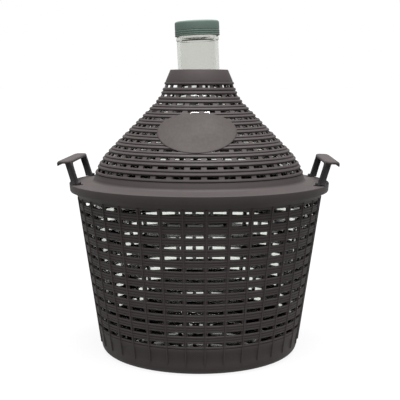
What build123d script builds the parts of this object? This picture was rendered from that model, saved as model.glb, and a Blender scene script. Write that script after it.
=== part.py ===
from build123d import *
from math import cos, radians, sin, sqrt, tan
import os

os.makedirs("parts", exist_ok=True)

# A 25 litre glass carboy that stands in a moulded plastic basket under a slotted conical cover.
# Origin: on the table, under the middle of the basket. +Z is up, -Y is the front, the handles are at +X and -X.

# Basket: a tapered tub, its wall pierced by rows of windows between upright ribs
BASKET_FOOT_R = 154.6          # outside radius of the wall, carried down to the table
BASKET_NECK_R = 190.5          # outside radius of the wall where the rim begins
BASKET_RIM_FOOT_Z = 248.4      # height where the rim begins
BASKET_RIM_HEIGHT = 17.5
BASKET_WALL = 2.6
BASKET_FLOOR = 3.0
BASKET_CORNER = 13.0           # rounding where the wall meets the floor
BASKET_RIM_STEP = 2.6          # how far the rim stands in past the wall, inside
BASKET_WINDOW_ROWS = 13
BASKET_WINDOW_FIRST_Z = 47.4
BASKET_WINDOW_HEIGHT = 5.6
BASKET_TOP_BAND = 5.9          # from the middle of the top row of windows up to the rim
BASKET_RIBS = 36
BASKET_RIB_WIDTH = 2.2
BASKET_RIB_PROUD = 2.0
BASKET_RIB_FOOT_Z = 17.6
BASKET_WINDOW_SHARE = 0.78     # share of the pitch that a window takes
FLOOR_SLOTS = 36
FLOOR_SLOT_LENGTH = 60.0
FLOOR_SLOT_WIDTH = 5.0
FLOOR_SLOT_R = 88.0

# Cover: collar, hollow cone with rows of windows, and a flat brim with a short skirt
COVER_RISE = 174.8             # from the edge of the brim up to the top of the collar
COVER_WALL = 2.0
COLLAR_GAP = 12.65             # level distance from the neck of the bottle to the top of the collar
COLLAR_FLARE = 7.3             # how much wider the collar is at its foot
COLLAR_HEIGHT = 17.6
CONE_TOP_R = 71.7
CONE_TOP_DROP = 54.8           # below the top of the collar
CONE_FOOT_R = 135.7
CONE_FOOT_RISE = 54.9          # above the edge of the brim
CONE_TOP_SAG = 3.0             # how far the upper sweep hollows in
CONE_FOOT_SAG = 4.5            # how far the lower sweep bulges out
BRIM_WIDTH = 37.8              # from the crease at the foot of the cone out to the edge
CREASE_RISE = 3.0              # how far the brim climbs from its edge to the cone
BRIM_OVERHANG = 13.5           # how far the brim stands out past the wall of the basket
SKIRT_HEIGHT = 11.8
SKIRT_DRAFT = 1.4
BRIM_SEAT_GAP = 0.3
SKIRT_GAP = 0.6                # between the skirt and the basket's rim inside it
COVER_WINDOW_ROWS = 12
COVER_WINDOW_FIRST = 8.0       # along the outline, from the foot of the collar to the first row
COVER_WINDOW_PITCH = 15.24     # along the outline, from row to row
COVER_WINDOW_HEIGHT = 4.2
COVER_COARSE_ROWS = 4          # the rows near the collar have half as many windows
COVER_WINDOWS = 40
COVER_WINDOW_SHARE = 0.68
PLATE_HALF_WIDTH = 59.0        # blank oval plate on the front of the cone
PLATE_HALF_HEIGHT = 28.0
PLATE_RISE = 82.7              # middle of the plate above the edge of the brim
PLATE_PROUD = 1.5

# Glass bottle
GLASS_WALL = 4.0
GLASS_BASE = 7.0
GLASS_GAP = 3.6                # between the glass and the wall of the basket
GLASS_HEEL_R = 30.0
GLASS_WIDEST_DROP = 28.4       # widest part, below the rim of the basket
GLASS_WIDEST_R = 80.0          # rounding of the widest part
GLASS_SHOULDER_GAP = 9.0       # between the glass and the cover, measured level
GLASS_SHOULDER_DROP = 18.1     # bend of the shoulder, below the foot of the cone
GLASS_SHOULDER_R = 70.0
NECK_R = 32.35
NECK_WALL = 4.85
NECK_ROOT_R = 28.0             # hollow rounding where the shoulder turns into the neck
NECK_LEAN = 2.5                # degrees that the neck leans towards -X
NECK_BEND_R = 200.0
NECK_LENGTH = 79.2             # from the bend to the lip, along the neck
FINISH_STEP = 1.35             # how much thinner the neck is inside the cap
FINISH_BELOW_CAP = 0.6         # how far that thinner part shows below the cap
BEAD_PROUD = 0.95              # glass bead round the neck below the cap
BEAD_HALF = 3.2

# Cap and its seal
CAP_GAP = 0.85                 # between the neck and the bore of the cap
CAP_WALL = 1.5
CAP_TOP = 2.3
CAP_SKIRT = 18.9               # how far the cap reaches down past the lip
CAP_ROUNDING = 3.0
CAP_GROOVES = 3
CAP_GROOVE_DEPTH = 0.5
CAP_GROOVE_PITCH = 3.0
CAP_GROOVE_WIDTH = 1.0
SEAL_GAP = 0.6                 # round the seal, inside the cap
SEAL_THICKNESS = 1.6
SEAL_SEAT_GAP = 0.05           # between the seal and the roof of the cap
THREAD_GAP = 0.4               # between the thread and the bore of the cap
THREAD_RIDGES = 2
THREAD_SPACING = 1.0

# Handles: two leaning posts under a shelf-like grip, with tongues that drop into the rim
HANDLE_HALF_SPAN = 68.0
HANDLE_LEAN = 17.0             # degrees from upright
POST_STEP = 5.0                # middle of a post's foot, outside the middle of its tongue
POST_WIDTH = 10.0
POST_FOOT_DEPTH = 10.0
POST_TOP_DEPTH = 10.0
POST_HEIGHT = 34.3
GRIP_TILT = 1.5                # degrees that the grip falls outwards
GRIP_WIDTH = 23.5
GRIP_THICKNESS = 4.6
GRIP_OVERHANG_END = 8.0        # how far the grip reaches past the middle of each post, at its ends
GRIP_CORNER = 9.0
GRIP_ROUNDING = 2.0
GRIP_SINK = 2.0                # how deep the tops of the posts run into the grip
GRIP_OVERHANG_IN = 6.0         # how far the grip reaches in past the middle of the posts
GRIP_LIP_WIDTH = 3.2           # the grip's outer edge turns down
GRIP_LIP_DROP = 4.4
HANDLE_SEAT_GAP = 0.2
TONGUE_DEPTH = 6.0
TONGUE_WIDTH = 9.0
TONGUE_REACH = 8.0             # how deep a tongue sits in the rim
TONGUE_GAP = 0.4
SLOT_ROOM = 2.6                # extra length of the slot in the brim, inwards of the tongue


# ---- sizes that follow from the ones above
def basket_radius(z):
    """Outside radius of the basket's wall at height z."""
    return BASKET_FOOT_R + (BASKET_NECK_R - BASKET_FOOT_R) * z / BASKET_RIM_FOOT_Z


BASKET_TOP_Z = BASKET_RIM_FOOT_Z + BASKET_RIM_HEIGHT
BRIM_R = BASKET_NECK_R + BRIM_OVERHANG
BRIM_EDGE_Z = BASKET_TOP_Z + BRIM_SEAT_GAP + COVER_WALL
CREASE_R = BRIM_R - BRIM_WIDTH
CREASE_Z = BRIM_EDGE_Z + CREASE_RISE
COVER_TOP_Z = BRIM_EDGE_Z + COVER_RISE
COLLAR_TOP_R = NECK_R + COLLAR_GAP
COLLAR_FOOT_R = COLLAR_TOP_R + COLLAR_FLARE
CONE_TOP_Z = COVER_TOP_Z - CONE_TOP_DROP
CONE_FOOT_Z = BRIM_EDGE_Z + CONE_FOOT_RISE
PLATE_Z = BRIM_EDGE_Z + PLATE_RISE
SKIRT_FOOT_Z = BRIM_EDGE_Z - SKIRT_HEIGHT
BASKET_RIM_R = BRIM_R - COVER_WALL - SKIRT_DRAFT - SKIRT_GAP
BASKET_RIM_INNER_R = basket_radius(BASKET_RIM_FOOT_Z) - BASKET_WALL - BASKET_RIM_STEP
WINDOW_LAST_Z = BASKET_RIM_FOOT_Z - BASKET_TOP_BAND
BASKET_WINDOW_PITCH = (WINDOW_LAST_Z - BASKET_WINDOW_FIRST_Z) / (BASKET_WINDOW_ROWS - 1)
THROUGH_WALL = 24.0            # length of a cutter that goes right through a slanted wall
# on the bottle's shoulder, radius and height add up to this value, as they do on the cone above it
GLASS_SHOULDER_SUM = CONE_FOOT_R + CONE_FOOT_Z - 2 * COVER_WALL - GLASS_SHOULDER_GAP
GLASS_SHOULDER_Z = CONE_FOOT_Z - GLASS_SHOULDER_DROP
GLASS_WIDEST_Z = BASKET_RIM_FOOT_Z - GLASS_WIDEST_DROP
NECK_BORE_R = NECK_R - NECK_WALL
FINISH_R = NECK_R - FINISH_STEP
FINISH_HEIGHT = CAP_SKIRT + FINISH_BELOW_CAP
BEAD_R = NECK_R + BEAD_PROUD
CAP_BORE_R = NECK_R + CAP_GAP
CAP_R = CAP_BORE_R + CAP_WALL
SEAL_R = CAP_BORE_R - SEAL_GAP
THREAD_R = CAP_BORE_R - THREAD_GAP
NECK_BEND_Z = GLASS_SHOULDER_SUM - NECK_R + NECK_ROOT_R * tan(radians(22.5)) + 0.5

# the neck leans: its own axis starts at the top of a short bend
bend_axis = Axis((-NECK_BEND_R, 0, NECK_BEND_Z), (0, -1, 0))
lean_cos = cos(radians(NECK_LEAN))
lean_sin = sin(radians(NECK_LEAN))
neck_foot = (NECK_BEND_R * (lean_cos - 1), 0, NECK_BEND_Z + NECK_BEND_R * lean_sin)
neck_axis = Axis(neck_foot, (-lean_sin, 0, lean_cos))
neck_section = Plane(origin=neck_foot, x_dir=(lean_cos, 0, lean_sin), z_dir=(0, -1, 0))

# the tongues of the handles drop into the middle of the basket's rim
TONGUE_RING_R = (BASKET_RIM_R + BASKET_RIM_INNER_R) / 2
TONGUE_X = sqrt(TONGUE_RING_R**2 - HANDLE_HALF_SPAN**2)
TONGUE_END_Z = BASKET_TOP_Z - TONGUE_REACH
HANDLE_X = TONGUE_X + POST_STEP
GRIP_HALF_LENGTH = HANDLE_HALF_SPAN + GRIP_OVERHANG_END

# the handles stand on the brim, whose top climbs towards the cone
post_inner_r = sqrt((TONGUE_X - TONGUE_DEPTH / 2) ** 2 + (HANDLE_HALF_SPAN - POST_WIDTH / 2) ** 2)
brim_climb = CREASE_RISE * (BRIM_R - post_inner_r) / (BRIM_R - CREASE_R)
HANDLE_FOOT_Z = BRIM_EDGE_Z + brim_climb + HANDLE_SEAT_GAP
POST_TOP_X = HANDLE_X + POST_HEIGHT * tan(radians(HANDLE_LEAN))
grip_plane = Plane(
    origin=(POST_TOP_X, 0, HANDLE_FOOT_Z + POST_HEIGHT - GRIP_SINK),
    x_dir=(cos(radians(GRIP_TILT)), 0, -sin(radians(GRIP_TILT))),
    z_dir=(sin(radians(GRIP_TILT)), 0, cos(radians(GRIP_TILT))),
)


def window_ring(radius, z, count, height, share, start_angle=0.0, skip_half_width=0.0):
    """Loose cutters for one ring of equal windows, without those behind the plate."""
    width = share * 2 * radius * tan(radians(180 / count))
    cutter = Box(THROUGH_WALL, width, height, mode=Mode.PRIVATE)
    ring = []
    for place in PolarLocations(radius, count, start_angle=start_angle).locations:
        behind_plate = place.position.Y < 0 and abs(place.position.X) < skip_half_width
        if not behind_plate:
            ring.append(cutter.moved(Location((0, 0, z)) * place))
    return ring


# ---- basket
with BuildPart() as basket_rib:
    with BuildSketch(Plane.XZ):
        with BuildLine():
            Polyline(
                (basket_radius(BASKET_RIB_FOOT_Z) - 1, BASKET_RIB_FOOT_Z),
                (basket_radius(BASKET_RIB_FOOT_Z) + BASKET_RIB_PROUD, BASKET_RIB_FOOT_Z),
                (basket_radius(BASKET_RIM_FOOT_Z) + BASKET_RIB_PROUD, BASKET_RIM_FOOT_Z + 1),
                (basket_radius(BASKET_RIM_FOOT_Z) - 1, BASKET_RIM_FOOT_Z + 1),
                close=True,
            )
        make_face()
    extrude(amount=BASKET_RIB_WIDTH / 2, both=True)

basket_windows = []
for row in range(BASKET_WINDOW_ROWS):
    row_z = BASKET_WINDOW_FIRST_Z + row * BASKET_WINDOW_PITCH
    row_r = basket_radius(row_z) - BASKET_WALL / 2
    basket_windows += window_ring(row_r, row_z, BASKET_RIBS, BASKET_WINDOW_HEIGHT, BASKET_WINDOW_SHARE)

with BuildPart() as basket:
    # one turned section: floor, wall, and the solid rim with its bevelled underside
    with BuildSketch(Plane.XZ) as basket_section:
        with BuildLine():
            Polyline(
                (0, 0),
                (basket_radius(0), 0),
                (basket_radius(BASKET_RIM_FOOT_Z), BASKET_RIM_FOOT_Z),
                (BASKET_RIM_R, BASKET_RIM_FOOT_Z + BASKET_RIM_R - basket_radius(BASKET_RIM_FOOT_Z)),
                (BASKET_RIM_R, BASKET_TOP_Z),
                (0, BASKET_TOP_Z),
                close=True,
            )
        make_face()
        table_corner = basket_section.vertices().sort_by(Axis.Y)[:2].sort_by(Axis.X)[-1]
        fillet(table_corner, BASKET_CORNER)
    revolve(axis=Axis.Z)
    with BuildSketch(Plane.XZ) as basket_hollow:
        with BuildLine():
            Polyline(
                (0, BASKET_FLOOR),
                (basket_radius(BASKET_FLOOR) - BASKET_WALL, BASKET_FLOOR),
                (basket_radius(BASKET_RIM_FOOT_Z) - BASKET_WALL, BASKET_RIM_FOOT_Z),
                (BASKET_RIM_INNER_R, BASKET_RIM_FOOT_Z + BASKET_RIM_STEP),
                (BASKET_RIM_INNER_R, BASKET_TOP_Z),
                (0, BASKET_TOP_Z),
                close=True,
            )
        make_face()
        floor_corner = basket_hollow.vertices().sort_by(Axis.Y)[:2].sort_by(Axis.X)[-1]
        fillet(floor_corner, BASKET_CORNER - BASKET_WALL)
    revolve(axis=Axis.Z, mode=Mode.SUBTRACT)
    with PolarLocations(0, BASKET_RIBS, start_angle=180 / BASKET_RIBS):
        add(basket_rib.part)
    add(basket_windows, mode=Mode.SUBTRACT)
    # drain slots in the floor
    with BuildSketch():
        with PolarLocations(FLOOR_SLOT_R, FLOOR_SLOTS):
            SlotOverall(FLOOR_SLOT_LENGTH, FLOOR_SLOT_WIDTH)
    extrude(amount=BASKET_FLOOR, mode=Mode.SUBTRACT)
    # sockets for the tongues of the handles
    with BuildSketch(Plane.XY.offset(BASKET_TOP_Z)):
        with GridLocations(2 * TONGUE_X, 2 * HANDLE_HALF_SPAN, 2, 2):
            Rectangle(TONGUE_DEPTH + 2 * TONGUE_GAP, TONGUE_WIDTH + 2 * TONGUE_GAP)
    extrude(amount=-(BASKET_TOP_Z - TONGUE_END_Z + TONGUE_GAP), mode=Mode.SUBTRACT)
basket.part.label = "basket"
export_step(basket.part, "parts/basket.step")


# ---- cover
def cover_outline(inset):
    """Draw the cover's outline from collar to skirt, moved in and down by inset."""
    collar_foot = (COLLAR_FOOT_R - inset, COVER_TOP_Z - COLLAR_HEIGHT - inset)
    cone_top = (CONE_TOP_R - inset, CONE_TOP_Z - inset)
    cone_foot = (CONE_FOOT_R - inset, CONE_FOOT_Z - inset)
    crease = (CREASE_R - inset, CREASE_Z - inset)
    brim_edge = (BRIM_R - inset, BRIM_EDGE_Z - inset)
    Line((COLLAR_TOP_R - inset, COVER_TOP_Z), collar_foot)
    SagittaArc(collar_foot, cone_top, -CONE_TOP_SAG)
    Line(cone_top, cone_foot)
    SagittaArc(cone_foot, crease, CONE_FOOT_SAG)
    Line(crease, brim_edge)
    Line(brim_edge, (BRIM_R - SKIRT_DRAFT - inset, SKIRT_FOOT_Z))


def cover_section(outer_inset, inner_inset):
    """The filled section between two copies of the cover's outline."""
    skirt_foot_r = BRIM_R - SKIRT_DRAFT
    with BuildSketch(Plane.XZ) as section:
        with BuildLine():
            cover_outline(outer_inset)
            cover_outline(inner_inset)
            Line((COLLAR_TOP_R - outer_inset, COVER_TOP_Z), (COLLAR_TOP_R - inner_inset, COVER_TOP_Z))
            Line((skirt_foot_r - outer_inset, SKIRT_FOOT_Z), (skirt_foot_r - inner_inset, SKIRT_FOOT_Z))
        make_face()
    return section.sketch


with BuildLine() as outline:
    cover_outline(0)
cone_line = Wire(outline.edges().sort_by(Axis.X)[1:4])

cover_windows = []
for row in range(COVER_WINDOW_ROWS):
    along = COVER_WINDOW_FIRST + row * COVER_WINDOW_PITCH
    row_spot = cone_line.position_at(along, position_mode=PositionMode.LENGTH)
    row_r = row_spot.X - COVER_WALL
    # the coarse rows are turned by half the pitch of the fine ones
    coarse = row < COVER_COARSE_ROWS
    count = COVER_WINDOWS // 2 if coarse else COVER_WINDOWS
    start = -180 / COVER_WINDOWS if coarse else 0.0
    plate_reach = 1 - ((row_spot.Y - PLATE_Z) / PLATE_HALF_HEIGHT) ** 2
    plate_half = PLATE_HALF_WIDTH * sqrt(plate_reach) if plate_reach > 0 else 0
    cover_windows += window_ring(
        row_r, row_spot.Y, count, COVER_WINDOW_HEIGHT, COVER_WINDOW_SHARE, start, plate_half
    )

# the blank oval plate: a pad that follows the cone, cut to an oval seen from the front
plate_section = cover_section(-PLATE_PROUD, COVER_WALL)
with BuildPart() as plate:
    revolve(plate_section, axis=Axis.Z)
    with BuildSketch(Plane.XZ):
        with Locations((0, PLATE_Z)):
            Ellipse(PLATE_HALF_WIDTH, PLATE_HALF_HEIGHT)
    extrude(amount=BRIM_R, mode=Mode.INTERSECT)

shell_section = cover_section(0, COVER_WALL)
with BuildPart() as cover:
    revolve(shell_section, axis=Axis.Z)
    add(cover_windows, mode=Mode.SUBTRACT)
    add(plate.part)
    # slots that the tongues of the handles pass through, a little longer than they need to be
    with BuildSketch(Plane.XY.offset(CREASE_Z)):
        with GridLocations(2 * TONGUE_X - SLOT_ROOM, 2 * HANDLE_HALF_SPAN, 2, 2):
            Rectangle(TONGUE_DEPTH + 2 * TONGUE_GAP + SLOT_ROOM, TONGUE_WIDTH + 2 * TONGUE_GAP)
    extrude(amount=-2 * SKIRT_HEIGHT, mode=Mode.SUBTRACT)
cover.part.label = "cover"
export_step(cover.part, "parts/cover.step")


# ---- glass bottle: body, bent neck root, neck with its beads and thread ridges
def bottle_section(wall, base_z, neck_r):
    """Half the section of the bottle's body, with its face moved in by wall."""
    heel_r = basket_radius(base_z) - BASKET_WALL - GLASS_GAP - wall
    widest_r = basket_radius(GLASS_WIDEST_Z) - BASKET_WALL - GLASS_GAP - wall
    # on the shoulder, radius and height add up to the same value all the way
    shoulder_sum = GLASS_SHOULDER_SUM - wall * sqrt(2)
    with BuildSketch(Plane.XZ) as section:
        with BuildLine():
            Polyline(
                (0, base_z),
                (heel_r, base_z),
                (widest_r, GLASS_WIDEST_Z),
                (shoulder_sum - GLASS_SHOULDER_Z, GLASS_SHOULDER_Z),
                (neck_r, shoulder_sum - neck_r),
                (neck_r, NECK_BEND_Z),
                (0, NECK_BEND_Z),
                close=True,
            )
        make_face()
        corners = section.vertices().filter_by(lambda corner: corner.X > 1).sort_by(Axis.Y)
        fillet(corners[0], GLASS_HEEL_R - wall)
        fillet(corners[1], GLASS_WIDEST_R - wall)
        fillet(corners[2], GLASS_SHOULDER_R - wall)
        fillet(corners[3], NECK_ROOT_R + wall)
    return section.sketch


def neck_ridge(foot_r, crest_r, height):
    """The section of a rounded glass ridge, its middle at height along the neck."""
    with BuildSketch(neck_section) as section:
        with BuildLine():
            ThreePointArc((foot_r, height - BEAD_HALF), (crest_r, height), (foot_r, height + BEAD_HALF))
            Line((foot_r, height + BEAD_HALF), (NECK_BORE_R + 1, height + BEAD_HALF))
            Line((NECK_BORE_R + 1, height + BEAD_HALF), (NECK_BORE_R + 1, height - BEAD_HALF))
            Line((NECK_BORE_R + 1, height - BEAD_HALF), (foot_r, height - BEAD_HALF))
        make_face()
    return section.sketch


body_outside = bottle_section(0, BASKET_FLOOR, NECK_R)
body_inside = bottle_section(GLASS_WALL, BASKET_FLOOR + GLASS_BASE, NECK_BORE_R)
with BuildPart() as glass_bottle:
    revolve(body_outside, axis=Axis.Z)
    revolve(body_inside, axis=Axis.Z, mode=Mode.SUBTRACT)
    # the short bend that gives the neck its lean
    with BuildSketch(Plane.XY.offset(NECK_BEND_Z)):
        Circle(NECK_R)
        Circle(NECK_BORE_R, mode=Mode.SUBTRACT)
    revolve(axis=bend_axis, revolution_arc=NECK_LEAN)
    with BuildSketch(neck_section):
        with BuildLine():
            Polyline(
                (NECK_BORE_R, 0),
                (NECK_R, 0),
                (NECK_R, NECK_LENGTH - FINISH_HEIGHT),
                (FINISH_R, NECK_LENGTH - FINISH_HEIGHT),
                (FINISH_R, NECK_LENGTH),
                (NECK_BORE_R, NECK_LENGTH),
                close=True,
            )
        make_face()
    revolve(axis=neck_axis)
    revolve(neck_ridge(NECK_R - 0.5, BEAD_R, NECK_LENGTH - FINISH_HEIGHT - BEAD_HALF), axis=neck_axis)
    for turn in range(THREAD_RIDGES):
        ridge_height = NECK_LENGTH - 2 * BEAD_HALF - turn * (2 * BEAD_HALF + THREAD_SPACING)
        revolve(neck_ridge(FINISH_R - 0.5, THREAD_R, ridge_height), axis=neck_axis)
glass_bottle.part.label = "glass_bottle"
export_step(glass_bottle.part, "parts/glass_bottle.step")


# ---- cap and seal, turned about the leaning neck
cap_foot = NECK_LENGTH - CAP_SKIRT
cap_roof = NECK_LENGTH + SEAL_THICKNESS + SEAL_SEAT_GAP
with BuildPart() as cap_seal:
    with BuildSketch(neck_section):
        with Locations((SEAL_R / 2, NECK_LENGTH + SEAL_THICKNESS / 2)):
            Rectangle(SEAL_R, SEAL_THICKNESS)
    revolve(axis=neck_axis)
cap_seal.part.label = "cap_seal"
export_step(cap_seal.part, "parts/cap_seal.step")

with BuildPart() as screw_cap:
    with BuildSketch(neck_section) as cap_section:
        with BuildLine():
            Polyline(
                (0, cap_roof),
                (CAP_BORE_R, cap_roof),
                (CAP_BORE_R, cap_foot),
                (CAP_R, cap_foot),
                (CAP_R, cap_roof + CAP_TOP),
                (0, cap_roof + CAP_TOP),
                close=True,
            )
        make_face()
        top_corner = cap_section.vertices().sort_by(Axis.Y)[-2:].sort_by(Axis.X)[-1]
        fillet(top_corner, CAP_ROUNDING)
        # shallow bands round the lower half
        for band in range(CAP_GROOVES):
            with Locations((CAP_R, cap_foot + (band + 1) * CAP_GROOVE_PITCH)):
                Rectangle(2 * CAP_GROOVE_DEPTH, CAP_GROOVE_WIDTH, mode=Mode.SUBTRACT)
    revolve(axis=neck_axis)
screw_cap.part.label = "screw_cap"
export_step(screw_cap.part, "parts/screw_cap.step")


# ---- handles
with BuildPart() as handle_right:
    # grip: a shelf square to the posts, reaching mostly outwards
    with BuildSketch(grip_plane):
        with Locations((GRIP_WIDTH / 2 - GRIP_OVERHANG_IN, 0)):
            RectangleRounded(GRIP_WIDTH, 2 * GRIP_HALF_LENGTH, GRIP_CORNER)
    extrude(amount=GRIP_THICKNESS)
    grip_up = Axis(grip_plane.origin, grip_plane.z_dir)
    fillet(handle_right.faces().sort_by(grip_up)[-1].edges(), GRIP_ROUNDING)
    with BuildSketch(grip_plane):
        with Locations((GRIP_WIDTH - GRIP_OVERHANG_IN - GRIP_LIP_WIDTH / 2, 0)):
            Rectangle(GRIP_LIP_WIDTH, 2 * (GRIP_HALF_LENGTH - GRIP_CORNER))
    extrude(amount=-GRIP_LIP_DROP)
    # posts: wider at the foot than under the grip
    with BuildSketch(Plane.XZ.offset(-POST_WIDTH / 2)):
        with BuildLine():
            Polyline(
                (HANDLE_X - POST_FOOT_DEPTH / 2, HANDLE_FOOT_Z),
                (HANDLE_X + POST_FOOT_DEPTH / 2, HANDLE_FOOT_Z),
                (POST_TOP_X + POST_TOP_DEPTH / 2, HANDLE_FOOT_Z + POST_HEIGHT),
                (POST_TOP_X - POST_TOP_DEPTH / 2, HANDLE_FOOT_Z + POST_HEIGHT),
                close=True,
            )
        make_face()
    post = extrude(amount=POST_WIDTH, mode=Mode.PRIVATE)
    with Locations((0, HANDLE_HALF_SPAN, 0), (0, -HANDLE_HALF_SPAN, 0)):
        add(post)
    # tongues that pass through the cover's brim into the basket's rim
    with BuildSketch(Plane.XY.offset(HANDLE_FOOT_Z)):
        with Locations((TONGUE_X, HANDLE_HALF_SPAN), (TONGUE_X, -HANDLE_HALF_SPAN)):
            Rectangle(TONGUE_DEPTH, TONGUE_WIDTH)
    extrude(amount=TONGUE_END_Z - HANDLE_FOOT_Z)
handle_right.part.label = "handle_right"
export_step(handle_right.part, "parts/handle_right.step")

with BuildPart() as handle_left:
    add(mirror(handle_right.part, about=Plane.YZ, mode=Mode.PRIVATE))
handle_left.part.label = "handle_left"
export_step(handle_left.part, "parts/handle_left.step")
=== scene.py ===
from math import asin, cos, exp, pi, radians, sin, sqrt, tan

import bmesh
import bpy
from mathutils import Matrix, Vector


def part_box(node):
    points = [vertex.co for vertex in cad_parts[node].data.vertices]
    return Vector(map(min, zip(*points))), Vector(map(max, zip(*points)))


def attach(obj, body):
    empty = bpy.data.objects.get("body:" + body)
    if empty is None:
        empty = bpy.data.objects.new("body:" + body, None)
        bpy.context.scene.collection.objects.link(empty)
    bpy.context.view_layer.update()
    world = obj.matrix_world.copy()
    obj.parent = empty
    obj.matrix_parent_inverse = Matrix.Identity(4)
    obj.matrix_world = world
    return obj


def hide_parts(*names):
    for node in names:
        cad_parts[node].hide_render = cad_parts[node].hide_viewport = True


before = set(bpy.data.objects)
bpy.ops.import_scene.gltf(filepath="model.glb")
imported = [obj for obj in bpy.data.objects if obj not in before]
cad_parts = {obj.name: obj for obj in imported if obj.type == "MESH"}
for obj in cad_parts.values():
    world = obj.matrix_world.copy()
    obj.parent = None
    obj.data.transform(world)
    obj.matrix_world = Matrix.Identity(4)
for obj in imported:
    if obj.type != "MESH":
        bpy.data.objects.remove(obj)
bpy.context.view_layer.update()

MM = 0.001


# ---- the basket: one moulding of dark plastic, a tapered tub that the bottle stands in
# Its wall is rows of windows between upright ribs, with three fine round ribs along every band between two
# rows. One cell of that wall is laid flat, repeated in columns and rows and wrapped round the tub.
def keep(maker, name):
    """An object at the origin from a bmesh."""
    mesh = bpy.data.meshes.new(name)
    maker.to_mesh(mesh)
    maker.free()
    made = bpy.data.objects.new(name, mesh)
    bpy.context.scene.collection.objects.link(made)
    return made


def flat_cell(name, across, up, window, wall):
    """A wall cell laid flat: x across in cell widths, y out of the wall, z up it, in metres.

    across lists (x, rib height); up lists (z, height between ribs, share of the rib height left there);
    window is its half width and half height, or None."""
    half_width, half_height = window or (-1, -1)
    cell = bmesh.new()
    outer, inner = {}, {}
    for i, (x, rib) in enumerate(across):
        for k, (z, height, share) in enumerate(up):
            outer[i, k] = cell.verts.new((x, max(rib * share, height) if rib else height, z))
    levels = [k for k, (z, height, share) in enumerate(up) if k in (0, len(up) - 1) or abs(z) == half_height]
    for i, (x, rib) in enumerate(across):
        for k in levels:
            inner[i, k] = cell.verts.new((x, -wall, up[k][0]))
    for i in range(len(across) - 1):
        open_column = abs(across[i][0] + across[i + 1][0]) / 2 < half_width
        for k in range(len(up) - 1):
            if not (open_column and up[k][0] == -half_height):
                cell.faces.new((outer[i, k], outer[i + 1, k], outer[i + 1, k + 1], outer[i, k + 1]))
        for low, high in zip(levels, levels[1:]):
            if open_column and up[low][0] == -half_height:
                cell.faces.new((outer[i, low], inner[i, low], inner[i + 1, low], outer[i + 1, low]))
                cell.faces.new((outer[i + 1, high], inner[i + 1, high], inner[i, high], outer[i, high]))
            else:
                cell.faces.new((inner[i, low], inner[i, high], inner[i + 1, high], inner[i + 1, low]))
    jambs = [i for i, (x, rib) in enumerate(across) if abs(abs(x) - half_width) < 1e-6]
    if jambs:
        low, high = [k for k in levels if abs(up[k][0]) == half_height]
        left, right = jambs
        cell.faces.new((outer[left, low], outer[left, high], inner[left, high], inner[left, low]))
        cell.faces.new((outer[right, high], outer[right, low], inner[right, low], inner[right, high]))
    return keep(cell, name)


def outline_curve(name, points):
    """An outline (radius, height) as a curve that the wrapping tree walks along."""
    data = bpy.data.curves.new(name, "CURVE")
    data.dimensions = "3D"
    line = data.splines.new("POLY")
    line.points.add(len(points) - 1)
    for spot, (r, z) in zip(line.points, points):
        spot.co = (r, 0, z, 1)
    made = bpy.data.objects.new(name, data)
    bpy.context.scene.collection.objects.link(made)
    return made


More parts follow.
